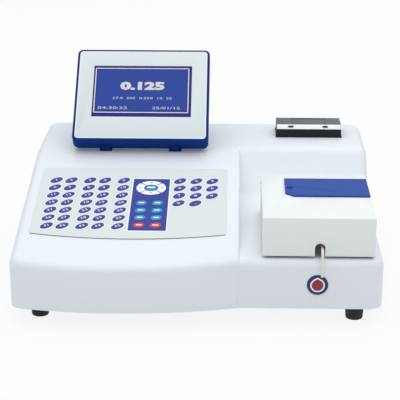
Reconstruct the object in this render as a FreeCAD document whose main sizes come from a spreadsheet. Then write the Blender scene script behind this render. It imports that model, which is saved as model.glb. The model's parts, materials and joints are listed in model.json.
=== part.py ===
import FreeCAD, Part
import math
import os
import re
import Sketcher
from FreeCAD import Placement, Rotation, Vector

# Bench-top chemistry analyser, millimetres.
# +X is the right-hand side seen from the front, +Y the back, +Z up.
# The origin is on the bench under the middle of the instrument.

SIZES = [
    ("foot_height", 21.5, "rubber foot"),
    ("foot_radius", 11.8, "foot at the casing"),
    ("foot_taper", 1.6, "how much smaller the foot is at the bench"),
    ("foot_inset_x", 31.5, "foot centre from the side"),
    ("foot_inset_y", 25, "foot centre from the flat front or the back"),
    ("rear_reach", 8, "how far the rear fittings stand out"),
    ("casing_width", 440, "moulded casing"),
    ("casing_depth", 386, "flat front to back"),
    ("casing_height", 112.8, "lower edge to flat top"),
    ("front_height", 60.9, "lower edge to the front crease and the bay floor"),
    ("slope_angle", 11.7, "keypad slope, degrees"),
    ("bulge", 20, "how far the bowed front stands out"),
    ("bulge_radius", 551, "bow of the front in plan"),
    ("bay_width", 169, "sample bay, from the step to the right side"),
    ("ramp_foot", 216.6, "bay floor's end behind the flat front"),
    ("ramp_top", 264.6, "top of the bay's rear ramp behind the flat front"),
    ("ramp_round", 24, "rounding at the foot and top of the ramp"),
    ("wall", 3, "casing wall"),
    ("corner_radius", 18, "upright corners"),
    ("edge_radius", 11, "upper edges"),
    ("step_radius", 4, "edge of the step beside the bay"),
    ("sheet", 1.5, "folded sheet metal"),
    ("fit_gap", 0.5, "clearance of the base tray in the casing"),
    ("tray_flange", 14, "upturned edge of the base tray"),
    ("screw_radius", 2, "casing and foot screws"),
    ("key_pitch", 17.87, "rows of keys along the slope"),
    ("key_width", 17.6, "oval key, the long way"),
    ("key_length", 11.2, "oval key, the short way"),
    ("key_turn", 40, "slant of the oval keys, degrees"),
    ("key_rise", 0.5, "embossed height of a key"),
    ("film", 1.0, "keypad film and its backing"),
    ("keypad_side", 17, "keypad film from the left side"),
    ("keypad_step", 16, "keypad film from the step"),
    ("keypad_foot", 52.7, "lower edge, along the slope from the crease"),
    ("keypad_length", 155.2, "film along the slope"),
    ("keypad_bow", 11.2, "bow of the film's lower edge"),
    ("key_row", 68.6, "lowest row of keys, along the slope from the crease"),
    ("display_side", 139, "middle of the display from the left side"),
    ("display_width", 180, "display housing"),
    ("display_length", 145.6, "display housing from hinge edge to top"),
    ("display_depth", 26, "display housing thickness"),
    ("display_front_depth", 9, "front half of the display housing"),
    ("display_wall", 2.5, "display housing wall"),
    ("display_round", 7, "display housing corners"),
    ("display_tilt", 49, "lean of the display from upright, degrees"),
    ("display_back_edge", 256, "pivot behind the flat front"),
    ("display_pivot", 8.5, "pivot above the casing and inside the housing"),
    ("display_clear", 2, "housing above the casing"),
    ("display_rim", 3, "blue rim round the front panel"),
    ("panel_film", 1.5, "front panel and pane"),
    ("hinge_pin", 2.5, "radius of the display's hinge pin"),
    ("hinge_play", 0.06, "radial running clearance of hinge pins"),
    ("hinge_reach", 46, "hinge ears from the middle of the display"),
    ("ear_width", 12, "hinge ear"),
    ("window_width", 132.7, "dark window pane"),
    ("window_height", 81.8, "dark window pane"),
    ("window_foot", 36.9, "pane above the lower edge of the display"),
    ("lcd_width", 119, "visible picture"),
    ("lcd_height", 66, "visible picture"),
    ("printer_side", 30.9, "printer from the right side"),
    ("printer_width", 88, "printer flange"),
    ("printer_front", 315.3, "printer behind the flat front"),
    ("printer_length", 40, "printer front to back"),
    ("printer_height", 16, "printer above the casing"),
    ("printer_face", 11.5, "upright front of the printer"),
    ("printer_well", 44, "paper well below the casing top"),
    ("paper_width", 44, "paper roll"),
    ("paper_radius", 12.5, "paper roll"),
    ("door_width", 45.2, "paper door"),
    ("cover_side", 11.7, "chamber cover from the right side"),
    ("cover_width", 131, "chamber cover"),
    ("cover_front", 6.7, "chamber cover behind the flat front"),
    ("cover_length", 155.5, "chamber cover front to back"),
    ("cover_gap", 3, "cover above the bay floor"),
    ("cover_height", 47, "chamber cover"),
    ("cover_sheet", 1.5, "chamber cover's sheet"),
    ("cover_pivot_y", 8, "hinge in front of the cover's back"),
    ("cover_pivot_z", 8, "hinge under the cover's top"),
    ("cover_pin", 1.5, "radius of the cover's hinge pins"),
    ("notch_side", 67, "needle notch from the cover's left side"),
    ("notch_radius", 6, "arched top of the needle notch"),
    ("notch_height", 16, "needle notch"),
    ("port_side", 72.7, "cuvette port from the cover's left side"),
    ("port_y", 96, "cuvette port behind the flat front"),
    ("port_radius", 11, "cuvette port in the cover's top"),
    ("lid_screw_x", 5.8, "lid's screw from its left end"),
    ("lid_screw_y", 28.5, "lid's screw from its front edge"),
    ("lid_head", 3.5, "radius of the lid screw's head"),
    ("lid_sheet", 2, "cuvette lid"),
    ("lid_side", 28.5, "cuvette lid from the cover's left side"),
    ("lid_width", 102, "cuvette lid"),
    ("lid_front", 79.5, "cuvette lid behind the flat front"),
    ("lid_length", 62.5, "cuvette lid front to back"),
    ("lid_chamfer", 10, "cut corner of the lid"),
    ("lid_gap", 0.3, "lid above the cover"),
    ("lid_screw", 2, "radius of the lid's pivot screw"),
    ("needle_side", 69.6, "aspirating needle from the cover's left side"),
    ("needle_radius", 1.7, "aspirating needle"),
    ("needle_foot", 64, "needle's end above the bench"),
    ("needle_rise", 12, "needle above the bay floor"),
    ("needle_bend", 10, "bend of the needle"),
    ("needle_reach", 4, "needle in front of the flat front"),
    ("button_side", 64.7, "aspirate button from the cover's left side"),
    ("button_z", 52, "aspirate button above the bench"),
    ("button_radius", 12.2, "aspirate button"),
    ("button_play", 0.3, "clearance round the button"),
    ("button_travel", 1.2, "stroke of the button"),
    ("block_width", 54, "cell block"),
    ("block_length", 40, "cell block"),
    ("block_rise", 24, "cell block above the bay floor"),
    ("cell_well", 13, "square cuvette well"),
    ("bench_step", 7, "optics bench from the step"),
    ("bench_side", 12, "optics bench from the right side"),
    ("bench_height", 24.5, "optics bench above the tray"),
    ("beam_height", 15, "light beam above the bench"),
    ("beam_radius", 3, "light beam's bore"),
    ("wheel_radius", 13, "filter wheel"),
    ("wheel_pitch", 9, "filters from the wheel's middle"),
    ("panel_width", 300, "rear panel"),
    ("panel_height", 74, "rear panel"),
    ("panel_foot", 15, "rear panel above the casing's lower edge"),
    ("panel_lip", 6, "rear panel behind the window's edge"),
    ("fan_x", 60, "fan"),
    ("fan_size", 60, "fan frame"),
    ("fan_depth", 15, "fan frame"),
    ("inlet_x", -115, "mains inlet"),
    ("switch_x", -72, "power switch"),
    ("serial_x", -25, "serial socket"),
    ("waste_x", 122, "waste outlet"),
    ("pump_step", 39, "pump left of the step"),
    ("pump_y", 190, "pump behind the flat front"),
    ("pump_radius", 24, "pump head"),
    ("board_side", 50, "main board from the left side"),
    ("board_front", 40, "main board behind the flat front"),
    ("board_width", 150, "main board"),
    ("board_length", 110, "main board"),
    ("board_rise", 8, "main board above the tray"),
    ("supply_side", 48, "power supply from the left side"),
    ("supply_front", 235, "power supply behind the flat front"),
]

os.makedirs("parts", exist_ok=True)
doc = FreeCAD.newDocument("chemistry_analyser")
sheet = doc.addObject("Spreadsheet::Sheet", "Sizes")
for row, (name, size, note) in enumerate(SIZES, start=1):
    sheet.set(f"A{row}", note)
    sheet.set(f"B{row}", str(size))
    sheet.setAlias(f"B{row}", name)
doc.recompute()

NAMES = {name for name, size, note in SIZES}
FRONT = "((bulge-casing_depth-rear_reach)/2)"
BACK = "((bulge+casing_depth-rear_reach)/2)"
LEFT = "(-casing_width/2)"
RIGHT = "(casing_width/2)"
TOP = "(foot_height+casing_height)"
FLOOR = "(foot_height+front_height)"
BAY_LEFT = f"({RIGHT}-bay_width)"
KEYPAD_LEFT = f"({LEFT}+keypad_side)"
KEYPAD_RIGHT = f"({BAY_LEFT}-keypad_step)"
DISPLAY_X = f"({LEFT}+display_side)"
PRINTER_X = f"({RIGHT}-printer_side-printer_width/2)"
COVER_LEFT = f"({RIGHT}-cover_side-cover_width)"
NOTCH_X = f"({COVER_LEFT}+notch_side)"
PORT_X = f"({COVER_LEFT}+port_side)"
LID_LEFT = f"({COVER_LEFT}+lid_side)"
NEEDLE_X = f"({COVER_LEFT}+needle_side)"
BUTTON_X = f"({COVER_LEFT}+button_side)"
PUMP_X = f"({BAY_LEFT}-pump_step)"
BENCH_LEFT = f"({BAY_LEFT}+bench_step)"
BOARD_LEFT = f"({LEFT}+board_side)"
SUPPLY_LEFT = f"({LEFT}+supply_side)"
PIECES = []


def linked(text):
    """A formula with each size's name pointing at its cell."""
    return re.sub(r"[a-z_]\w*", lambda m: ("Sizes." if m.group(0) in NAMES else "") + m.group(0), str(text))


def value(text):
    found = sheet.evalExpression(linked(text))
    return float(getattr(found, "Value", found))


def bind(item, **formulas):
    for prop, text in formulas.items():
        item.setExpression(prop, linked(text))


def put(item, x, y, z):
    item.setExpression("Placement.Base.x", linked(x))
    item.setExpression("Placement.Base.y", linked(y))
    item.setExpression("Placement.Base.z", linked(z))
    return item


def piece(item, label):
    """Name a finished piece."""
    item.Label = label
    PIECES.append(item)
    return item


def block(x, y, z, width, length, height, name="block"):
    item = doc.addObject("Part::Box", name)
    bind(item, Length=width, Width=length, Height=height)
    return put(item, x, y, z)


TURNS = {"Z": Rotation(), "X": Rotation(Vector(0, 1, 0), 90), "Y": Rotation(Vector(1, 0, 0), -90)}


def rod(x, y, z, radius, length, along="Z", name="rod"):
    """A cylinder from its first end along an axis."""
    item = doc.addObject("Part::Cylinder", name)
    item.Placement = Placement(Vector(), TURNS[along])
    bind(item, Radius=radius, Height=length)
    return put(item, x, y, z)


def cone(x, y, z, foot, head, height, name="cone"):
    item = doc.addObject("Part::Cone", name)
    bind(item, Radius1=foot, Radius2=head, Height=height)
    return put(item, x, y, z)


def join(*items, name="joined"):
    item = doc.addObject("Part::MultiFuse", name)
    item.Shapes = list(items)
    item.Refine = True
    return item


def cut(base, *tools, name="cut"):
    item = doc.addObject("Part::Cut", name)
    item.Base = base
    item.Tool = tools[0] if len(tools) == 1 else join(*tools, name="tools")
    item.Refine = True
    return item


def group(*items, name="group"):
    """Separate solids that share one node."""
    item = doc.addObject("Part::Compound", name)
    item.Links = list(items)
    return item


def origin_plane(body, role):
    return next(item for item in body.Origin.OriginFeatures if item.Role == role)


def sketch(body, name, role, corners, arcs=None, offset=None):
    """A closed outline whose corners and arcs follow formulas."""
    arcs = arcs or {}
    drawn = body.newObject("Sketcher::SketchObject", name)
    drawn.AttachmentSupport = [(origin_plane(body, role), "")]
    drawn.MapMode = "FlatFace"
    if offset is not None:
        drawn.setExpression("AttachmentOffset.Base.z", linked(offset))
    points = [Vector(value(x), value(y), 0) for x, y in corners]
    count = len(points)
    for i, start in enumerate(points):
        end = points[(i + 1) % count]
        if i in arcs:
            radius = value(arcs[i])
            chord = end - start
            sagitta = abs(radius) - math.sqrt(radius**2 - chord.Length**2 / 4)
            side = Vector(chord.y, -chord.x, 0).normalize() * math.copysign(sagitta, radius)
            drawn.addGeometry(Part.Arc(start, (start + end) * 0.5 + side, end), False)
        else:
            drawn.addGeometry(Part.LineSegment(start, end), False)

    def end_at(i, point):
        curve = drawn.Geometry[i]
        return 1 if (curve.StartPoint - point).Length < (curve.EndPoint - point).Length else 2

    for i in range(count):
        after = (i + 1) % count
        meet = points[after]
        drawn.addConstraint(Sketcher.Constraint("Coincident", i, end_at(i, meet), after, end_at(after, meet)))
    for i, (x, y) in enumerate(corners):
        here = end_at(i, points[i])
        for kind, text, size in (("DistanceX", x, points[i].x), ("DistanceY", y, points[i].y)):
            rule = drawn.addConstraint(Sketcher.Constraint(kind, -1, 1, i, here, size))
            drawn.setExpression(f"Constraints[{rule}]", linked(text))
    for i, radius in arcs.items():
        rule = drawn.addConstraint(Sketcher.Constraint("Radius", i, abs(value(radius))))
        drawn.setExpression(f"Constraints[{rule}]", linked(f"abs({radius})"))
    return drawn


def round_sketch(body, name, role, circles, offset=None):
    """Circles whose centres and radii follow formulas."""
    drawn = body.newObject("Sketcher::SketchObject", name)
    drawn.AttachmentSupport = [(origin_plane(body, role), "")]
    drawn.MapMode = "FlatFace"
    if offset is not None:
        drawn.setExpression("AttachmentOffset.Base.z", linked(offset))
    for i, (x, y, radius) in enumerate(circles):
        centre = Vector(value(x), value(y), 0)
        drawn.addGeometry(Part.Circle(centre, Vector(0, 0, 1), value(radius)), False)
        for kind, text, size in (("DistanceX", x, centre.x), ("DistanceY", y, centre.y)):
            rule = drawn.addConstraint(Sketcher.Constraint(kind, -1, 1, i, 3, size))
            drawn.setExpression(f"Constraints[{rule}]", linked(text))
        rule = drawn.addConstraint(Sketcher.Constraint("Radius", i, value(radius)))
        drawn.setExpression(f"Constraints[{rule}]", linked(radius))
    return drawn


def new_body(name):
    return doc.addObject("PartDesign::Body", name)


def pad(body, profile, length, name="pad", reverse=False):
    feature = body.newObject("PartDesign::Pad", name)
    feature.Profile = profile
    feature.Reversed = reverse
    bind(feature, Length=length)
    doc.recompute()
    body.Tip = feature
    return feature


def pocket(body, profile, length=None, name="pocket", reverse=False):
    before = body.Shape.Volume
    feature = body.newObject("PartDesign::Pocket", name)
    feature.Profile = profile
    feature.Reversed = reverse
    if length is None:
        feature.Type = "ThroughAll"
        feature.Midplane = True
    else:
        bind(feature, Length=length)
    body.Tip = feature
    doc.recompute()
    if body.Shape.Volume > before - 0.01:
        raise RuntimeError(f"{body.Name} {name} cuts nothing")
    return feature


def rounded(body, radius, chosen, name="rounding"):
    """Fillet the edges of the body that the test picks."""
    base = body.Tip
    names = [f"Edge{i}" for i, edge in enumerate(base.Shape.Edges, start=1) if chosen(edge)]
    if not names:
        raise RuntimeError(f"{body.Name} {name} finds no edge")
    feature = body.newObject("PartDesign::Fillet", name)
    feature.Base = (base, names)
    bind(feature, Radius=radius)
    body.Tip = feature
    doc.recompute()
    return feature


def near(edge, x=None, y=None, z=None):
    """True where both ends of an edge lie on the planes named."""
    ends = [vertex.Point for vertex in edge.Vertexes]
    wanted = [(0, x), (1, y), (2, z)]
    planes = [(axis, value(text)) for axis, text in wanted if text is not None]
    return all(abs(end[axis] - place) < 0.02 for end in ends for axis, place in planes)


def upright(edge):
    ends = edge.Vertexes
    return len(ends) == 2 and math.hypot(ends[0].X - ends[1].X, ends[0].Y - ends[1].Y) < 0.01


def bow(x, inset):
    """The bowed front's place at an x, for a form that is inset all round."""
    middle = f"({BAY_LEFT}-sqrt(bulge_radius^2-(bulge_radius-bulge)^2))"
    return f"({FRONT}-bulge+bulge_radius-sqrt((bulge_radius-{inset})^2-({x}-{middle})^2))"


def keypad_half(inset, lowest, name):
    """The casing's form left of the step, solid, with a sloped top."""
    body = new_body(name)
    side, step = f"({LEFT}+{inset})", f"({BAY_LEFT}-{inset})"
    back, top = f"({BACK}-{inset})", f"({TOP}-{inset})"
    outline = [(side, bow(side, inset)), (step, bow(step, inset)), (step, back), (side, back)]
    plan = sketch(body, name + "_plan", "XY_Plane", outline, {0: f"(bulge_radius-{inset})"}, lowest)
    pad(body, plan, f"{top}-{lowest}")
    ahead = "(bulge+10)"
    drop = f"{inset}/cos(slope_angle)"
    run = f"((casing_height-front_height-{inset}+{drop})/tan(slope_angle))"
    above = [
        (f"{FRONT}-{ahead}", f"{FLOOR}-{drop}-{ahead}*tan(slope_angle)"),
        (f"{FRONT}+{run}", top),
        (f"{FRONT}-{ahead}", f"{top}+1"),
    ]
    pocket(body, sketch(body, name + "_slope", "YZ_Plane", above))
    rounded(body, f"corner_radius-{inset}", lambda e: upright(e) and near(e, x=side), "corners")
    rounded(
        body,
        f"edge_radius-{inset}",
        lambda e: (near(e, x=side) and not upright(e) and not near(e, z=lowest))
        or near(e, y=back, z=top)
        or "Ellipse" in type(e.Curve).__name__,
        "upper_edges",
    )
    if inset == "0":
        rounded(
            body,
            "step_radius",
            lambda e: near(e, x=step) and not upright(e) and not near(e, z=lowest) and not near(e, y=back)
            and type(e.Curve).__name__ == "Line",
            "step_edge",
        )
    return body


def bay_half(inset, lowest, name):
    """The casing's form right of the step, solid, with the bay's floor and ramp."""
    body = new_body(name)
    side, step = f"({RIGHT}-{inset})", f"({BAY_LEFT}-{inset}-2*corner_radius)"
    front, back, top = f"({FRONT}+{inset})", f"({BACK}-{inset})", f"({TOP}-{inset})"
    outline = [(step, front), (side, front), (side, back), (step, back)]
    plan = sketch(body, name + "_plan", "XY_Plane", outline, offset=lowest)
    pad(body, plan, f"{top}-{lowest}")
    pitch = "((casing_height-front_height)/(ramp_top-ramp_foot))"
    shift = f"{inset}*(sqrt(1+{pitch}^2)-1)/{pitch}"
    floor = f"({FLOOR}-{inset})"
    above = [
        (f"{FRONT}-10", floor),
        (f"{FRONT}+ramp_foot+{shift}", floor),
        (f"{FRONT}+ramp_top+{shift}", top),
        (f"{FRONT}-10", f"{top}+1"),
    ]
    pocket(body, sketch(body, name + "_side", "YZ_Plane", above))
    foot_y, top_y = f"{FRONT}+ramp_foot+{shift}", f"{FRONT}+ramp_top+{shift}"
    rounded(body, f"ramp_round+{inset}", lambda e: near(e, y=foot_y, z=floor), "ramp_foot")
    rounded(body, f"ramp_round-{inset}", lambda e: near(e, y=top_y, z=top), "ramp_top")
    rounded(body, f"corner_radius-{inset}", lambda e: upright(e) and near(e, x=side), "corners")
    rounded(
        body,
        f"edge_radius-{inset}",
        lambda e: near(e, y=front, z=floor) or near(e, y=back, z=top) or near(e, x=side, z=floor)
        or near(e, x=side, z=top),
        "upper_edges",
    )
    return body


def full_plan(body, name, inset, height):
    """The casing's whole outline in plan."""
    side, step = f"({LEFT}+{inset})", f"({BAY_LEFT}-{inset})"
    corners = [
        (side, bow(side, inset)),
        (step, bow(step, inset)),
        (step, f"({FRONT}+{inset})"),
        (f"({RIGHT}-{inset})", f"({FRONT}+{inset})"),
        (f"({RIGHT}-{inset})", f"({BACK}-{inset})"),
        (side, f"({BACK}-{inset})"),
    ]
    return sketch(body, name, "XY_Plane", corners, {0: f"(bulge_radius-{inset})"}, height)


# Casing
FOOT = "foot_height"
BELOW = "(foot_height-5)"
TRAY = "(foot_height+sheet)"
outer = join(keypad_half("0", FOOT, "keypad_half"), bay_half("0", FOOT, "bay_half"), name="form")
inner = join(keypad_half("wall", BELOW, "keypad_hollow"), bay_half("wall", BELOW, "bay_hollow"), name="hollow")
FEET = [
    ("foot_front_left", f"({LEFT}+foot_inset_x)", f"({FRONT}+foot_inset_y)"),
    ("foot_front_right", f"({RIGHT}-foot_inset_x)", f"({FRONT}+foot_inset_y)"),
    ("foot_rear_left", f"({LEFT}+foot_inset_x)", f"({BACK}-foot_inset_y)"),
    ("foot_rear_right", f"({RIGHT}-foot_inset_x)", f"({BACK}-foot_inset_y)"),
]
posts = join(*[rod(x, y, TRAY, "screw_radius+3", "casing_height", name="post") for label, x, y in FEET])
bosses = doc.addObject("Part::Common", "bosses")
bosses.Base = outer
bosses.Tool = posts
shell = join(cut(outer, inner, name="shell"), bosses, name="bossed_shell")

PRINTER_FRONT = f"({FRONT}+printer_front)"
PRINTER_LEFT = f"({PRINTER_X}-printer_width/2)"
PORT_Y = f"({FRONT}+port_y)"
PIVOT_Y = f"({FRONT}+display_back_edge)"
PIVOT_Z = f"({TOP}+display_clear+display_pivot)"
PANEL_Z = "(foot_height+panel_foot)"
PANEL_MIDDLE = f"({PANEL_Z}+panel_height/2)"
INSIDE_TOP = f"({TOP}-wall-1)"
piece(
    cut(
        shell,
        block(
            f"{PRINTER_LEFT}+4", f"{PRINTER_FRONT}+4", INSIDE_TOP,
            "printer_width-8", "printer_length-8", "wall+2",
        ),
        rod(f"{DISPLAY_X}+30", f"{PIVOT_Y}+22", INSIDE_TOP, "6", "wall+2"),
        block(
            f"{PORT_X}-block_width/2-1", f"{PORT_Y}-block_length/2-1", f"{FLOOR}-wall-1",
            "block_width+2", "block_length+2", "wall+2",
        ),
        rod(BUTTON_X, f"{FRONT}-1", "button_z", "button_radius+button_play", "wall+2", along="Y"),
        block(
            "-panel_width/2+panel_lip", f"{BACK}-wall-1", f"{PANEL_Z}+panel_lip",
            "panel_width-2*panel_lip", "wall+2", "panel_height-2*panel_lip",
        ),
        *[rod(x, y, BELOW, "screw_radius+0.05", "25") for label, x, y in FEET],
        name="casing",
    ),
    "upper_casing",
)

# Base tray, feet and their screws
tray = new_body("tray")
side = f"({LEFT}+wall+fit_gap)"
far_side = f"({RIGHT}-wall-fit_gap)"
pad(tray, full_plan(tray, "tray_plan", "(wall+fit_gap)", "foot_height"), "tray_flange")
rounded(
    tray, "corner_radius-wall-fit_gap", lambda e: upright(e) and (near(e, x=side) or near(e, x=far_side))
)
side = f"({LEFT}+wall+fit_gap+sheet)"
far_side = f"({RIGHT}-wall-fit_gap-sheet)"
scoop = new_body("tray_hollow")
pad(scoop, full_plan(scoop, "hollow_plan", "(wall+fit_gap+sheet)", TRAY), "tray_flange+5")
rounded(
    scoop,
    "corner_radius-wall-fit_gap-sheet",
    lambda e: upright(e) and (near(e, x=side) or near(e, x=far_side)),
)
VENTS = 9
vents = [
    block(f"-70+{i}*10", f"{FRONT}+215", BELOW, "4", "70", "12", name="vent") for i in range(VENTS)
]
screw_holes = [rod(x, y, BELOW, "screw_radius+0.2", "12") for label, x, y in FEET]
piece(cut(tray, scoop, *vents, *screw_holes, name="base_tray"), "base_tray")

for label, x, y in FEET:
    form = cone(x, y, "0", "foot_radius-foot_taper", "foot_radius", "foot_height")
    sunk_head = rod(x, y, "-1", "5", "10")
    screw_hole = rod(x, y, "5", "screw_radius+0.2", "foot_height")
    piece(cut(form, sunk_head, screw_hole, name=label), label)
piece(
    group(*[
        join(rod(x, y, "5.8", "4", "3.2"), rod(x, y, "9", "screw_radius", "foot_height"))
        for label, x, y in FEET
    ]),
    "foot_screws",
)

# Rear panel with its fittings
PLATE_Y = f"({BACK}-wall-sheet)"
OUTSIDE = f"({BACK}-wall)"
rings = []
for radius in (8, 14, 20, 26):
    ring = rod("fan_x", f"{PLATE_Y}-1", PANEL_MIDDLE, f"{radius}+2.2", "sheet+2", along="Y")
    rings.append(cut(ring, rod("fan_x", f"{PLATE_Y}-2", PANEL_MIDDLE, f"{radius}-1.8", "sheet+4", along="Y")))
bars = [
    block("fan_x-1.5", f"{PLATE_Y}-2", f"{PANEL_MIDDLE}-30", "3", "sheet+4", "60"),
    block("fan_x-30", f"{PLATE_Y}-2", f"{PANEL_MIDDLE}-1.5", "60", "sheet+4", "3"),
]
grille = cut(join(*rings), *bars, name="grille")
piece(
    cut(
        block("-panel_width/2", PLATE_Y, PANEL_Z, "panel_width", "sheet", "panel_height"),
        grille,
        block("inlet_x-14", f"{PLATE_Y}-1", f"{PANEL_MIDDLE}-10", "28", "sheet+2", "20"),
        block("switch_x-9.8", f"{PLATE_Y}-1", f"{PANEL_MIDDLE}-7.8", "19.6", "sheet+2", "15.6"),
        block("serial_x-9.5", f"{PLATE_Y}-1", f"{PANEL_MIDDLE}-5", "19", "sheet+2", "10"),
        rod("waste_x", f"{PLATE_Y}-1", PANEL_MIDDLE, "3.1", "sheet+2", along="Y"),
        name="rear_panel",
    ),
    "rear_panel",
)
pins = [
    block(f"inlet_x+{x}-1", f"{OUTSIDE}-17", f"{PANEL_MIDDLE}+{z}-2", "2", "14", "4", name="blade")
    for x, z in ((-7, -3), (7, -3), (0, 3))
]
socket = cut(
    join(
        block("inlet_x-25", OUTSIDE, f"{PANEL_MIDDLE}-13", "50", "2.2", "26"),
        block("inlet_x-13.8", f"{OUTSIDE}-20", f"{PANEL_MIDDLE}-9.8", "27.6", "20.1", "19.6"),
    ),
    block("inlet_x-12", f"{OUTSIDE}-17", f"{PANEL_MIDDLE}-8", "24", "20", "16"),
)
piece(join(socket, *pins, name="mains_inlet"), "mains_inlet")
piece(
    cut(
        join(
            block("switch_x-11.5", OUTSIDE, f"{PANEL_MIDDLE}-9.5", "23", "2", "19"),
            block("switch_x-9.6", f"{OUTSIDE}-14", f"{PANEL_MIDDLE}-7.6", "19.2", "14.1", "15.2"),
        ),
        block("switch_x-8.3", f"{OUTSIDE}-11", f"{PANEL_MIDDLE}-6.2", "16.6", "14", "12.4"),
        name="switch_frame",
    ),
    "switch_frame",
)
rocker = new_body("rocker")
profile = [("-6", "-3.5"), ("2.6", "-5.2"), ("0.8", "0"), ("2.6", "5.2"), ("-6", "3.5")]
face = sketch(rocker, "rocker_side", "YZ_Plane", profile, offset="-8")
pad(rocker, face, "16")
rocker.Placement = Placement(
    Vector(value("switch_x"), value(f"{OUTSIDE}+1"), value(PANEL_MIDDLE)), Rotation(Vector(1, 0, 0), 8)
)
piece(rocker, "power_rocker")
piece(
    cut(
        join(
            block("serial_x-15.5", OUTSIDE, f"{PANEL_MIDDLE}-6.2", "31", "1", "12.4"),
            block("serial_x-9", f"{OUTSIDE}-8", f"{PANEL_MIDDLE}-4.5", "18", "14", "9"),
        ),
        block("serial_x-8.2", f"{OUTSIDE}+2", f"{PANEL_MIDDLE}-3.8", "16.4", "5", "7.6"),
        name="serial_socket",
    ),
    "serial_socket",
)
FAN_Y = f"({PLATE_Y}-fan_depth)"
struts = join(
    rod("fan_x", FAN_Y, PANEL_MIDDLE, "12", "3", along="Y"),
    rod("fan_x", FAN_Y, PANEL_MIDDLE, "1.5", "fan_depth-3", along="Y"),
    block("fan_x-29", FAN_Y, f"{PANEL_MIDDLE}-2", "58", "3", "4"),
    block("fan_x-2", FAN_Y, f"{PANEL_MIDDLE}-29", "4", "3", "58"),
)
fan_ring = cut(
    block("fan_x-fan_size/2", FAN_Y, f"{PANEL_MIDDLE}-fan_size/2", "fan_size", "fan_depth", "fan_size"),
    rod("fan_x", f"{FAN_Y}-1", PANEL_MIDDLE, "fan_size/2-1.8", "fan_depth+2", along="Y"),
)
piece(join(fan_ring, struts, name="fan_frame"), "fan_frame")
blades = []
BLADES = 7
for i in range(BLADES):
    vane = block("0", "0", "0", "fan_size/2-3.5", "0.9", "9", name="vane")
    turned = doc.addObject("Part::Compound", "turned_vane")
    turned.Links = [vane]
    spin = Rotation(Vector(0, 0, 1), 360 * i / BLADES).multiply(Rotation(Vector(1, 0, 0), 40))
    along_y = Rotation(Vector(1, 0, 0), -90)
    turned.Placement = Placement(
        Vector(value("fan_x"), value(f"{FAN_Y}+4"), value(PANEL_MIDDLE)), along_y.multiply(spin)
    )
    blades.append(turned)
hub = rod("fan_x", f"{FAN_Y}+3.5", PANEL_MIDDLE, "11", "9.5", along="Y")
hub_bore = rod("fan_x", f"{FAN_Y}+3", PANEL_MIDDLE, "1.5+hinge_play", "11", along="Y")
piece(cut(join(hub, *blades), hub_bore, name="rotor"), "fan_rotor")
nipple = [rod("waste_x", f"{PLATE_Y}-10", PANEL_MIDDLE, "3", "21+rear_reach-8+1.5", along="Y")]
nipple += [rod("waste_x", f"{OUTSIDE}", PANEL_MIDDLE, "5", "2", along="Y")]
nipple_bore = rod("waste_x", f"{PLATE_Y}-11", PANEL_MIDDLE, "1.8", "40", along="Y")
piece(cut(join(*nipple), nipple_bore, name="waste_outlet"), "waste_outlet")

# Keypad film with its embossed keys, drawn flat on the slope
LEFT_KEYS = [f"{KEYPAD_LEFT}+{x}" for x in (19.6, 38.7, 62.6, 81.8, 105.9)]
RIGHT_KEYS = [f"{KEYPAD_RIGHT}-{x}" for x in (60.3, 39.6, 19.2)]
KEY_ROWS = 7
keypad = new_body("keypad")
far_end = "(keypad_foot+keypad_length)"
edge = [
    (KEYPAD_LEFT, "keypad_foot"),
    (KEYPAD_RIGHT, "keypad_foot"),
    (KEYPAD_RIGHT, far_end),
    (KEYPAD_LEFT, far_end),
]
bow_radius = f"(((({KEYPAD_RIGHT}-{KEYPAD_LEFT})/2)^2+keypad_bow^2)/(2*keypad_bow))"
pad(keypad, sketch(keypad, "film_outline", "XY_Plane", edge, {0: bow_radius}), "film")


def key_rows(body, name, columns, first_row, rows):
    """A row of oval keys repeated up the slope."""
    drawn = body.newObject("Sketcher::SketchObject", name)
    drawn.AttachmentSupport = [(origin_plane(body, "XY_Plane"), "")]
    drawn.MapMode = "FlatFace"
    drawn.setExpression("AttachmentOffset.Base.z", linked("film"))
    tilt = Rotation(Vector(0, 0, 1), value("key_turn"))
    for x in columns:
        centre = Vector(value(x), value(f"key_row+{first_row}*key_pitch"), 0)
        wide = tilt.multVec(Vector(value("key_width/2"), 0, 0))
        tall = tilt.multVec(Vector(0, value("key_length/2"), 0))
        drawn.addGeometry(Part.Ellipse(centre + wide, centre + tall, centre), False)
    row = pad(body, drawn, "key_rise", name=name + "_keys")
    if rows > 1:
        pattern = body.newObject("PartDesign::LinearPattern", name + "_rows")
        pattern.Originals = [row]
        pattern.Direction = (drawn, ["V_Axis"])
        pattern.Occurrences = rows
        pattern.setExpression("Length", linked(f"key_pitch*{rows - 1}"))
        body.Tip = pattern
        doc.recompute()


key_rows(keypad, "left_block", LEFT_KEYS, 0, KEY_ROWS)
key_rows(keypad, "right_block", RIGHT_KEYS, 4, 3)
key_rows(keypad, "right_pair", RIGHT_KEYS[:2], 3, 1)
keypad.Placement = Placement(
    Vector(0, value(FRONT), value(FLOOR)), Rotation(Vector(1, 0, 0), value("slope_angle"))
)
piece(keypad, "keypad_film")

# Display, drawn upright about its hinge pin and then leaned back
LEAN = Placement(
    Vector(value(DISPLAY_X), value(PIVOT_Y), value(PIVOT_Z)),
    Rotation(Vector(1, 0, 0), -value("display_tilt")),
)
D_LEFT = "(-display_width/2)"
D_LOW = "(-display_pivot)"
D_BACK = "display_pivot"
D_FRONT = "(display_pivot-display_depth)"
D_SPLIT = "(display_pivot-display_depth+display_front_depth)"


def panel_outline(inset):
    """The display's rectangle in its own plane, with an inset all round."""
    left, right = f"({D_LEFT}+{inset})", f"(display_width/2-{inset})"
    low, high = f"({D_LOW}+{inset})", f"(display_length-display_pivot-{inset})"
    return [(left, low), (right, low), (right, high), (left, high)]


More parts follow.
